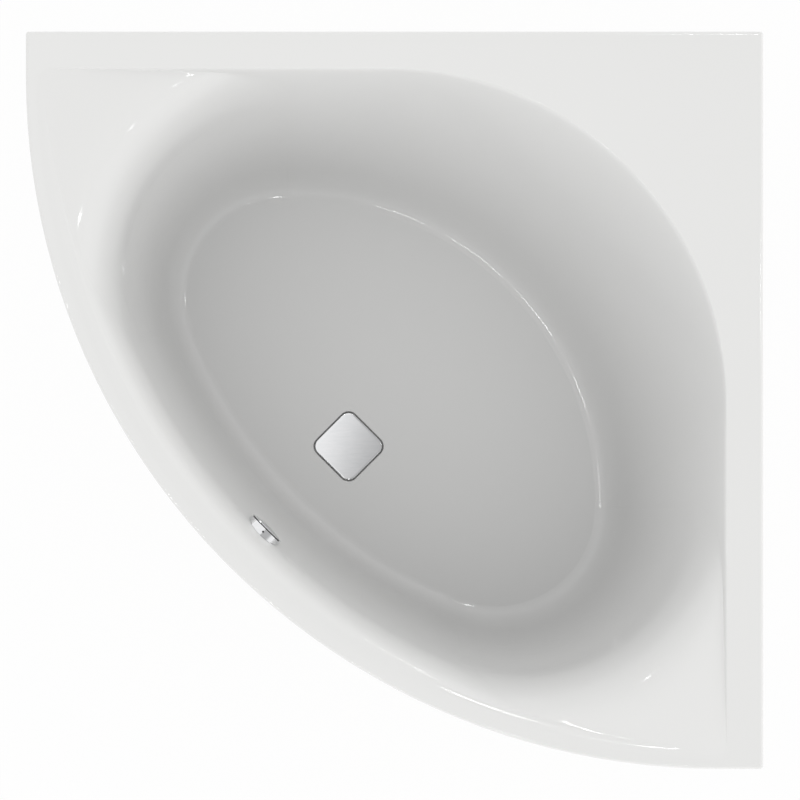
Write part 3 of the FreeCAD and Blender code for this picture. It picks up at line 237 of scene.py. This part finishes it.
class Finish:
    """A material under construction, with short ways to add masks, colours and bumps."""

    def __init__(self, name, **values):
        self.material = bpy.data.materials.new(name)
        self.material.use_nodes = True
        self.tree = self.material.node_tree
        self.shader = self.tree.nodes["Principled BSDF"]
        for label, value in values.items():
            self.shader.inputs[label].default_value = value

    def link(self, output, target):
        self.tree.links.new(output, target)

    def grain(self, scale, across=(1, 1, 1), contrast=1.0):
        """Mask of drawn-out noise."""
        node = new_node(self.tree, "ShaderNodeGroup", node_tree=grain_group)
        for label, value in zip(GRAIN_INPUTS, (scale, *across, contrast)):
            node.inputs[label].default_value = value
        return node.outputs["Mask"]

    def facing(self, label):
        """Mask of the undersides or of the upright faces."""
        node = new_node(self.tree, "ShaderNodeGroup", node_tree=facing_group)
        return node.outputs[label]

    def bands(self, direction, scale, distortion=0.0):
        """Mask of bands across a direction."""
        coords = self.tree.nodes.new("ShaderNodeTexCoord")
        wave = new_node(self.tree, "ShaderNodeTexWave", bands_direction=direction, Scale=scale,
                        Distortion=distortion)
        self.link(coords.outputs["Object"], wave.inputs["Vector"])
        return wave.outputs["Fac"]

    def cells(self, scale):
        """Mask with a value of its own in each cell."""
        coords = self.tree.nodes.new("ShaderNodeTexCoord")
        cell = new_node(self.tree, "ShaderNodeTexVoronoi", Scale=scale)
        self.link(coords.outputs["Object"], cell.inputs["Vector"])
        split = self.tree.nodes.new("ShaderNodeSeparateColor")
        self.link(cell.outputs["Color"], split.inputs["Color"])
        return split.outputs["Red"]

    def mix_colour(self, mask, first, second):
        """A colour that passes from the first to the second with a mask."""
        node = new_node(self.tree, "ShaderNodeMix", data_type="RGBA")
        self.link(mask, node.inputs["Factor"])
        feed(self.tree, colour_socket(node.inputs, "A"), first)
        feed(self.tree, colour_socket(node.inputs, "B"), second)
        return colour_socket(node.outputs, "Result")

    def mix_value(self, mask, first, second):
        """A value that passes from the first to the second with a mask."""
        return ranged(self.tree, mask, first=first, last=second)

    def colour(self, output):
        self.link(output, self.shader.inputs["Base Color"])

    def roughness(self, output):
        self.link(output, self.shader.inputs["Roughness"])

    def bump(self, height, strength, distance):
        node = new_node(self.tree, "ShaderNodeBump", Strength=strength, Distance=distance)
        self.link(height, node.inputs["Height"])
        self.link(node.outputs["Normal"], self.shader.inputs["Normal"])


# Finishes
def sanitary_acrylic():
    """Glossy cast acrylic in front, dull where it was pressed from behind, and painted darker as shade on faces
    that look down.
    """
    front_tones = ((0.800, 0.800, 0.790), (0.815, 0.815, 0.806))
    underside_shade_tones = ((0.68, 0.68, 0.66), (0.74, 0.74, 0.72))
    bounced_tone = (0.26, 0.26, 0.257)
    back_roughness = 0.5
    finish = Finish("sanitary_acrylic", IOR=1.49)
    clouds = finish.grain(scale=2.5)
    underside = finish.facing("Underside")
    front = finish.mix_colour(clouds, *front_tones)
    # Faces that look down are painted darker, as shade
    back = finish.mix_colour(clouds, *underside_shade_tones)
    seen = finish.mix_colour(underside, front, back)
    # Light that has bounced is held back, so that the basin keeps its shade
    rays = finish.tree.nodes.new("ShaderNodeLightPath")
    finish.colour(finish.mix_colour(rays.outputs["Is Diffuse Ray"], seen, bounced_tone))
    polish = finish.mix_value(finish.grain(scale=14.0), first=0.05, second=0.09)
    finish.roughness(finish.mix_value(underside, polish, back_roughness))
    finish.bump(finish.grain(scale=60.0), strength=0.02, distance=0.0004)
    return finish.material


def glass_fibre():
    """Resin over chopped strands that lie in all directions."""
    resin_tones = ((0.60, 0.55, 0.40), (0.70, 0.66, 0.52))
    strand_tone = (0.80, 0.78, 0.69)
    finish = Finish("glass_fibre", IOR=1.5)
    along = finish.grain(scale=34.0, across=(9, 1, 1), contrast=3.0)
    across = finish.grain(scale=34.0, across=(1, 9, 1), contrast=3.0)
    strands = finish.mix_value(along, first=across, second=1.0)
    resin = finish.mix_colour(finish.grain(scale=5.0), *resin_tones)
    finish.colour(finish.mix_colour(strands, resin, strand_tone))
    finish.roughness(finish.mix_value(strands, first=0.32, second=0.62))
    finish.bump(strands, strength=0.5, distance=0.0012)
    return finish.material


def plywood():
    """Birch faces with drawn grain, and dark glue lines between the layers on the edges."""
    face_tones = ((0.50, 0.35, 0.19), (0.66, 0.51, 0.31))
    layer_tones = ((0.33, 0.20, 0.10), (0.62, 0.46, 0.27))
    finish = Finish("plywood")
    grain = finish.grain(scale=6.0, across=(1, 14, 14), contrast=2.0)
    face = finish.mix_colour(grain, *face_tones)
    layers = finish.mix_colour(finish.bands("Z", scale=62.0), *layer_tones)
    finish.colour(finish.mix_colour(finish.facing("Upright"), face, layers))
    finish.roughness(finish.mix_value(grain, first=0.75, second=0.55))
    finish.bump(grain, strength=0.25, distance=0.0005)
    return finish.material


def softwood(name, direction, across):
    """Sawn pine with its rings drawn out along the strip."""
    ring_tones = ((0.47, 0.30, 0.14), (0.70, 0.53, 0.30))
    fibre_tone = (0.62, 0.46, 0.26)
    finish = Finish(name)
    rings = finish.bands(direction, scale=38.0, distortion=3.5)
    fibres = finish.grain(scale=9.0, across=across, contrast=1.8)
    wood = finish.mix_colour(rings, *ring_tones)
    finish.colour(finish.mix_colour(fibres, wood, fibre_tone))
    finish.roughness(finish.mix_value(fibres, first=0.8, second=0.6))
    finish.bump(fibres, strength=0.3, distance=0.0006)
    return finish.material


def zinc_steel():
    """Bright zinc with crystal flakes and dull handling marks."""
    flake_tones = ((0.46, 0.47, 0.49), (0.62, 0.63, 0.65))
    mark_tone = (0.66, 0.66, 0.66)
    finish = Finish("zinc_plated_steel", Metallic=1.0)
    flakes = finish.cells(scale=170.0)
    zinc = finish.mix_colour(flakes, *flake_tones)
    marks = finish.grain(scale=22.0, contrast=2.5)
    finish.colour(finish.mix_colour(marks, zinc, mark_tone))
    finish.roughness(finish.mix_value(flakes, first=0.26, second=0.44))
    finish.bump(finish.grain(scale=240.0), strength=0.08, distance=0.0003)
    return finish.material


def chrome_plate():
    """Mirror plating with the faintest haze of wiping."""
    chrome_tones = ((0.80, 0.81, 0.82), (0.86, 0.86, 0.87))
    finish = Finish("chrome_plate", Metallic=1.0)
    haze = finish.grain(scale=40.0, across=(1, 6, 1), contrast=2.0)
    finish.colour(finish.mix_colour(haze, *chrome_tones))
    finish.roughness(finish.mix_value(haze, first=0.035, second=0.075))
    return finish.material


def stainless_steel():
    """Steel with fine brushed lines."""
    steel_tones = ((0.52, 0.52, 0.52), (0.66, 0.66, 0.66))
    finish = Finish("stainless_steel", Metallic=1.0)
    lines = finish.grain(scale=30.0, across=(1, 1, 20), contrast=2.0)
    finish.colour(finish.mix_colour(lines, *steel_tones))
    finish.roughness(finish.mix_value(lines, first=0.22, second=0.40))
    finish.bump(lines, strength=0.1, distance=0.0002)
    return finish.material


def dull_moulding(name, dark, light, smooth, rough, speckle):
    """Moulded plastic or rubber with a fine spark-eroded grain."""
    finish = Finish(name)
    finish.colour(finish.mix_colour(finish.grain(scale=7.0), dark, light))
    texture = finish.grain(scale=speckle, contrast=1.6)
    finish.roughness(finish.mix_value(texture, smooth, rough))
    finish.bump(texture, strength=0.15, distance=0.0003)
    return finish.material


# Name, darkest and lightest tone, lowest and highest roughness, scale of the grain
MOULDINGS = (
    ("foot_plastic", (0.018, 0.018, 0.02), (0.035, 0.035, 0.038), 0.42, 0.6, 130.0),
    ("sealing_rubber", (0.012, 0.012, 0.012), (0.026, 0.026, 0.026), 0.65, 0.85, 130.0),
    ("white_plastic", (0.70, 0.70, 0.68), (0.76, 0.76, 0.74), 0.28, 0.42, 130.0),
    ("grey_plastic", (0.085, 0.09, 0.10), (0.13, 0.135, 0.145), 0.36, 0.52, 130.0),
    ("cable_sheath", (0.016, 0.016, 0.018), (0.03, 0.03, 0.034), 0.32, 0.5, 400.0),
)
finishes = {
    "sanitary_acrylic": sanitary_acrylic(),
    "glass_fibre": glass_fibre(),
    "plywood": plywood(),
    "softwood": softwood("softwood_back", "Y", (1, 16, 16)),
    "zinc_plated_steel": zinc_steel(),
    "chrome_plate": chrome_plate(),
    "stainless_steel": stainless_steel(),
}
for name, *values in MOULDINGS:
    finishes[name] = dull_moulding(name, *values)
for entry in frame["record"]["subparts"]:
    material_slots = nodes[entry["node"]].data.materials
    material_slots.clear()
    material_slots.append(finishes[entry["material_slot"]])
nodes["rim_batten_right"].data.materials[0] = softwood("softwood_right", "X", (16, 1, 16))

# Square waste cover with a shallow dome
COVER_SIDE = 102
COVER_CORNER = 18
COVER_CORNER_STEPS = 12
COVER_EDGE = 1.2
COVER_EDGE_STEPS = 4
COVER_DOME = 0.9
COVER_CUTS = 11
COVER_RINGS = (0.96, 0.88, 0.76, 0.6, 0.42, 0.22)
COVER_SMOOTH_ANGLE = math.radians(60)


def top_face(shape):
    """The highest face of a shape."""
    return max(shape.faces, key=lambda face: face.calc_center_median().z)


def waste_cover():
    """A plate with round corners whose top rises in rings towards its middle."""
    low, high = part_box("plug_cover")
    thick = high.z - low.z - COVER_DOME * MM
    shape = bmesh.new()
    bmesh.ops.create_cube(shape, size=1.0)
    bmesh.ops.scale(shape, vec=(COVER_SIDE * MM, COVER_SIDE * MM, thick), verts=shape.verts)
    upright = [edge for edge in shape.edges if abs(edge.verts[0].co.z - edge.verts[1].co.z) > thick / 2]
    rounded(shape, upright, COVER_CORNER, COVER_CORNER_STEPS)
    rounded(shape, list(top_face(shape).edges), COVER_EDGE, COVER_EDGE_STEPS)
    sides = [edge for edge in top_face(shape).edges if edge.calc_length() > COVER_CORNER * MM]
    bmesh.ops.subdivide_edges(shape, edges=sides, cuts=COVER_CUTS)
    top = top_face(shape)
    reach = max(corner.co.xy.length for corner in top.verts)
    share = 1.0
    for next_share in COVER_RINGS:
        made = bmesh.ops.extrude_face_region(shape, geom=[top])
        bmesh.ops.delete(shape, geom=[top], context="FACES_ONLY")
        top = [item for item in made["geom"] if isinstance(item, bmesh.types.BMFace)][0]
        shrink = next_share / share
        bmesh.ops.scale(shape, vec=(shrink, shrink, 1.0), verts=top.verts)
        share = next_share
    bmesh.ops.poke(shape, faces=[top])
    for corner in shape.verts:
        if corner.co.z > 0:
            corner.co.z += COVER_DOME * MM * (1 - (corner.co.xy.length / reach) ** 2)
    centre = middle("plug_cover")
    put(shape, Vector((centre.x, centre.y, low.z + thick / 2)), DIAGONAL_TURN)
    finish_piece("waste_cover", shape, finishes["chrome_plate"], "plug", ["plug_cover"], COVER_SMOOTH_ANGLE)


waste_cover()

# Domed overflow knob, with a black neck in the gap behind it that paints the shade of the gap
KNOB_RADIUS = 37
KNOB_DOME = 5
KNOB_EASE = 0.5
KNOB_RINGS = (0.985, 0.95, 0.88, 0.76, 0.6, 0.4, 0.2, 0)
KNOB_STEPS = 96
NECK_RADIUS = 34
NECK_GAP = 0.1
NECK_STEPS = 64


def span_along_knob(node):
    """Where a node starts and ends along the knob's axis, in millimetres from its joint."""
    spans = [(corner.co - knob_place).dot(knob_axis) / MM for corner in nodes[node].data.vertices]
    return min(spans), max(spans)


knob_back, knob_front = span_along_knob("overflow_knob")
neck_back = span_along_knob("overflow_rosette")[1] + NECK_GAP


def overflow_dome():
    """The knob, with a flat back and a domed face."""
    face = [(KNOB_RADIUS * share, knob_front - KNOB_DOME * share ** 2) for share in KNOB_RINGS]
    back = [(0, knob_back), (KNOB_RADIUS - KNOB_EASE, knob_back), (KNOB_RADIUS, knob_back + KNOB_EASE)]
    shape = spun(back + face, KNOB_STEPS)
    put(shape, knob_place, facing_along(knob_axis))
    finish_piece("overflow_dome", shape, finishes["chrome_plate"], "knob", ["overflow_knob"])


def overflow_neck_painted_shade():
    """A plain drum that turns with the knob, black so that it paints the shade in the gap behind the knob."""
    outline = [(0, neck_back), (NECK_RADIUS, neck_back), (NECK_RADIUS, knob_back), (0, knob_back)]
    shape = spun(outline, NECK_STEPS)
    put(shape, knob_place, facing_along(knob_axis))
    # The black rubber finish paints the shade of the gap between rosette and knob
    finish_piece("overflow_neck_painted_shade", shape, finishes["sealing_rubber"], "knob")


overflow_dome()
overflow_neck_painted_shade()

# Feet with rolled thread and ribbed pads
FOOT_NUMBERS = range(1, 6)
SPINDLE_RADIUS = 6
SPINDLE_STEPS = 24
THREAD_DEPTH = 0.8
THREAD_PITCH = 1.75
THREAD_STEPS = ((0.15, 0), (0.45, 1), (0.55, 1), (0.85, 0))
COLLAR_RADIUS = 9
COLLAR_LOW = 20
COLLAR_HIGH = 28
COLLAR_EASE = 0.6
PAD_OUTLINE = (
    (0, 0), (26, 0), (27.4, 0.5), (28, 2), (28, 5), (27.2, 6.2), (20, 9.5), (15, 13.5), (13.2, 17),
    (12.4, 18), (6.6, 18), (6.1, 17.5), (6.1, 8), (0, 8),
)
PAD_STEPS = 64
RIB_OUTLINE = ((12.6, 7), (26, 6.4), (12.8, 16.8))
RIB_THICKNESS = 2
RIB_COUNT = 8


def foot_spindle(number):
    """A spindle with a collar and rings of thread above it."""
    node = f"foot_spindle_{number}"
    low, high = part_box(node)
    seat = (low.z - floor_level) / MM
    top = (high.z - floor_level) / MM
    root = SPINDLE_RADIUS - THREAD_DEPTH
    outline = [
        (0, seat), (SPINDLE_RADIUS, seat), (SPINDLE_RADIUS, COLLAR_LOW),
        (COLLAR_RADIUS - COLLAR_EASE, COLLAR_LOW), (COLLAR_RADIUS, COLLAR_LOW + COLLAR_EASE),
        (COLLAR_RADIUS, COLLAR_HIGH - COLLAR_EASE), (COLLAR_RADIUS - COLLAR_EASE, COLLAR_HIGH),
        (root, COLLAR_HIGH),
    ]
    for turn in range(int((top - COLLAR_HIGH) / THREAD_PITCH)):
        start = COLLAR_HIGH + turn * THREAD_PITCH
        for share, crest in THREAD_STEPS:
            outline.append((root + THREAD_DEPTH * crest, start + THREAD_PITCH * share))
    outline += [(root, top), (0, top)]
    shape = spun(outline, SPINDLE_STEPS)
    place = middle(node)
    put(shape, Vector((place.x, place.y, floor_level)))
    finish_piece(f"threaded_spindle_{number}", shape, finishes["zinc_plated_steel"], f"foot_{number}", [node])


def pad_rib(shape, angle):
    """One upright web between the socket and the edge of a pad."""
    near = -RIB_THICKNESS * MM / 2
    corners = [shape.verts.new((radius * MM, near, height * MM)) for radius, height in RIB_OUTLINE]
    made = bmesh.ops.extrude_face_region(shape, geom=[shape.faces.new(corners)])
    far = [item for item in made["geom"] if isinstance(item, bmesh.types.BMVert)]
    bmesh.ops.translate(shape, vec=(0, RIB_THICKNESS * MM, 0), verts=far)
    bmesh.ops.rotate(shape, cent=(0, 0, 0), matrix=Matrix.Rotation(angle, 3, "Z"), verts=corners + far)


def foot_pad(number):
    """A round pad with ribs about its socket."""
    node = f"foot_pad_{number}"
    shape = spun(PAD_OUTLINE, PAD_STEPS)
    for rib in range(RIB_COUNT):
        pad_rib(shape, 2 * math.pi * rib / RIB_COUNT)
    place = middle(node)
    put(shape, Vector((place.x, place.y, floor_level)))
    finish_piece(f"ribbed_pad_{number}", shape, finishes["foot_plastic"], f"foot_{number}", [node])


for number in FOOT_NUMBERS:
    foot_spindle(number)
    foot_pad(number)

# Union nuts with grip ribs: node, bore, inner and outer radius, length, start of the lip, side of the lip
UNION_NUTS = (
    ("pipe_nut_top", 14.1, 17.2, 22, 22, 13.2, -UPWARDS),
    ("pipe_nut_bottom", 14.1, 17.2, 22, 22, 13.2, TOWARDS_FRONT),
    ("trap_nut", 20.2, 26.2, 31, 14, 8.2, UPWARDS),
    ("outlet_coupling", 20.2, 20.2, 25, 32, 16, -TOWARDS_FRONT),
)
NUT_EASE = 0.8
GRIP_DEPTH = 1.2
GRIP_STEPS = 48
GRIP_LEAN = 0.1
GRIP_SMOOTH_ANGLE = math.radians(20)


def union_nut(node, bore, inner, outer, length, lip, direction):
    """Ribbed nut whose lip closes towards the given direction."""
    core = outer - GRIP_DEPTH
    shape = spun([
        (inner, 0), (core - NUT_EASE, 0), (core, NUT_EASE), (core, length - NUT_EASE),
        (core - NUT_EASE, length), (bore, length), (bore, lip), (inner, lip),
    ], GRIP_STEPS, closed=True)
    bmesh.ops.remove_doubles(shape, verts=shape.verts, dist=WELD_DISTANCE)
    bmesh.ops.recalc_face_normals(shape, faces=shape.faces)
    sides = [face for face in shape.faces if abs(face.normal.z) < GRIP_LEAN and
             face.calc_center_median().xy.length > (core - NUT_EASE / 2) * MM]
    sides.sort(key=lambda face: math.atan2(face.calc_center_median().y, face.calc_center_median().x))
    grips = bmesh.ops.extrude_discrete_faces(shape, faces=sides[::2])["faces"]
    for face in grips:
        bmesh.ops.translate(shape, vec=face.normal * GRIP_DEPTH * MM, verts=face.verts)
    put(shape, middle(node) - direction * length * MM / 2, facing_along(direction))
    finish_piece(f"ribbed_{node}", shape, finishes["grey_plastic"], "tub", [node], GRIP_SMOOTH_ANGLE)


for nut in UNION_NUTS:
    union_nut(*nut)

# Stage
FLOOR_HALF_WIDTH = 30.0
FLOOR_TONE = (0.9, 0.9, 0.9, 1.0)
FLOOR_GLOW = 0.95
WHITE = (1.0, 1.0, 1.0, 1.0)


def seen_directly(tree):
    """Mask of the rays that come from the camera, a reflection or a clear piece."""
    rays = tree.nodes.new("ShaderNodeLightPath")
    mask = rays.outputs["Is Camera Ray"]
    for label in ("Is Glossy Ray", "Is Transmission Ray"):
        mask = calculated(tree, "MAXIMUM", mask, rays.outputs[label])
    return mask


def pale_floor():
    """White to the camera and to reflections, with a share that still takes the shadow."""
    material = bpy.data.materials.new("pale_floor")
    material.use_nodes = True
    tree = material.node_tree
    tree.nodes.clear()
    leave = tree.nodes.new("ShaderNodeOutputMaterial")
    matt = new_node(tree, "ShaderNodeBsdfDiffuse", Color=FLOOR_TONE)
    glow = new_node(tree, "ShaderNodeEmission", Color=WHITE, Strength=1.0)
    share = calculated(tree, "MULTIPLY", seen_directly(tree), FLOOR_GLOW)
    surface = mixed_shader(tree, share, matt.outputs["BSDF"], glow.outputs["Emission"])
    tree.links.new(surface, leave.inputs["Surface"])
    return material


floor_shape = bmesh.new()
bmesh.ops.create_grid(floor_shape, x_segments=1, y_segments=1, size=FLOOR_HALF_WIDTH)
floor_mesh = bpy.data.meshes.new("studio_floor")
floor_shape.to_mesh(floor_mesh)
floor_shape.free()
floor_mesh.materials.append(pale_floor())
studio_floor = bpy.data.objects.new("studio_floor", floor_mesh)
studio_floor.location.z = floor_level
bpy.context.scene.collection.objects.link(studio_floor)

# Soft light, dimmer overhead and from one side; a grey card overhead shows in reflections only
SKY_HORIZON = 1.5
SKY_ZENITH = 0.6
DIM_SIDE = (-0.87, 0.5, 0.0)
DIM_START = 0.3
DIM_FULL = 0.9
DIM_SHARE = 0.7
CARD_SIDE = (0.94, -0.34, 0.0)
CARD_SOFTNESS = 0.07
CARD_LOW = 0.5
CARD_HIGH = 0.8
CARD_TONE = 0.5


def pointing(tree, direction, side):
    """How far a direction points to one side."""
    node = new_node(tree, "ShaderNodeVectorMath", operation="DOT_PRODUCT")
    feed(tree, node.inputs[0], direction)
    feed(tree, node.inputs[1], side)
    return node.outputs["Value"]


def background(tree, strength):
    """White world light of the given strength."""
    node = new_node(tree, "ShaderNodeBackground", Color=WHITE)
    tree.links.new(strength, node.inputs["Strength"])
    return node.outputs["Background"]


def studio_world():
    """World that lights the part with the sky and shows white with a card in reflections."""
    world = bpy.data.worlds.new("studio")
    world.use_nodes = True
    tree = world.node_tree
    tree.nodes.clear()
    leave = tree.nodes.new("ShaderNodeOutputWorld")
    direction = tree.nodes.new("ShaderNodeTexCoord").outputs["Generated"]
    split = tree.nodes.new("ShaderNodeSeparateXYZ")
    tree.links.new(direction, split.inputs["Vector"])
    height = split.outputs["Z"]
    height_squared = calculated(tree, "MULTIPLY", height, height)
    sky = calculated(tree, "MULTIPLY_ADD", height_squared, SKY_ZENITH - SKY_HORIZON, SKY_HORIZON)
    to_dim_side = pointing(tree, direction, DIM_SIDE)
    dim = ranged(tree, to_dim_side, DIM_START, DIM_FULL, 1.0, DIM_SHARE, kind="SMOOTHSTEP")
    to_card_side = pointing(tree, direction, CARD_SIDE)
    card_edge = ranged(tree, to_card_side, -CARD_SOFTNESS, CARD_SOFTNESS, kind="SMOOTHSTEP")
    overhead = ranged(tree, height, CARD_LOW, CARD_HIGH, kind="SMOOTHSTEP")
    card = calculated(tree, "MULTIPLY", card_edge, overhead)
    light = background(tree, calculated(tree, "MULTIPLY", sky, dim))
    reflected = background(tree, ranged(tree, card, first=1.0, last=CARD_TONE))
    surface = mixed_shader(tree, seen_directly(tree), light, reflected)
    tree.links.new(surface, leave.inputs["Surface"])
    bpy.context.scene.world = world


studio_world()

# Lamps that show only as highlights: azimuth and elevation in degrees, width and height in metres
GLINT_LAMPS = (
    (8, 62, 0.2, 0.3), (59, 55, 0.2, 0.1), (57, 20, 0.3, 0.1), (63, 66, 0.2, 0.3), (122, 50, 0.2, 0.1),
    (188, 50, 0.3, 0.2), (204, 50, 0.3, 0.2), (218, 50, 0.4, 0.2), (232, 50, 0.4, 0.2), (246, 50, 0.3, 0.2),
    (268, 64, 0.15, 0.4), (285, 60, 0.2, 0.1), (318, 52, 0.1, 0.1),
)
GLINT_STRENGTH = 17.0
GLINT_DISTANCE = 4.0


def glint_lamp(name, azimuth, elevation, width, height):
    """A rectangular lamp that is turned to the middle of the rim."""
    lamp = bpy.data.lights.new(name, "AREA")
    lamp.shape = "RECTANGLE"
    lamp.size = width
    lamp.size_y = height
    lamp.energy = GLINT_STRENGTH * math.pi * width * height
    carrier = bpy.data.objects.new(name, lamp)
    bpy.context.scene.collection.objects.link(carrier)
    around = math.radians(azimuth)
    rise = math.radians(elevation)
    level = math.cos(rise)
    direction = Vector((math.cos(around) * level, math.sin(around) * level, math.sin(rise)))
    carrier.location = Vector((0, 0, rim_level)) + direction * GLINT_DISTANCE
    carrier.rotation_mode = "QUATERNION"
    carrier.rotation_quaternion = (-direction).to_track_quat("-Z", "Y")
    carrier.visible_diffuse = False


for number, lamp_values in enumerate(GLINT_LAMPS):
    glint_lamp(f"glint_lamp_{number}", *lamp_values)

# Camera straight above, over the middle of the picture
PICTURE_WIDTH = 1.5184
PICTURE_MIDDLE = (0.0104, 0.0005)
CAMERA_RISE = 20.0
CAMERA_REACH = 200.0
SENSOR_WIDTH = 36.0
camera_data = bpy.data.cameras.new("camera")
camera_data.sensor_width = SENSOR_WIDTH
camera_data.lens = SENSOR_WIDTH * CAMERA_RISE / PICTURE_WIDTH
camera_data.clip_end = CAMERA_REACH
camera = bpy.data.objects.new("camera", camera_data)
bpy.context.scene.collection.objects.link(camera)
camera.location = (*PICTURE_MIDDLE, rim_level + CAMERA_RISE)
bpy.context.scene.camera = camera
bpy.context.scene.view_settings.view_transform = "Standard"
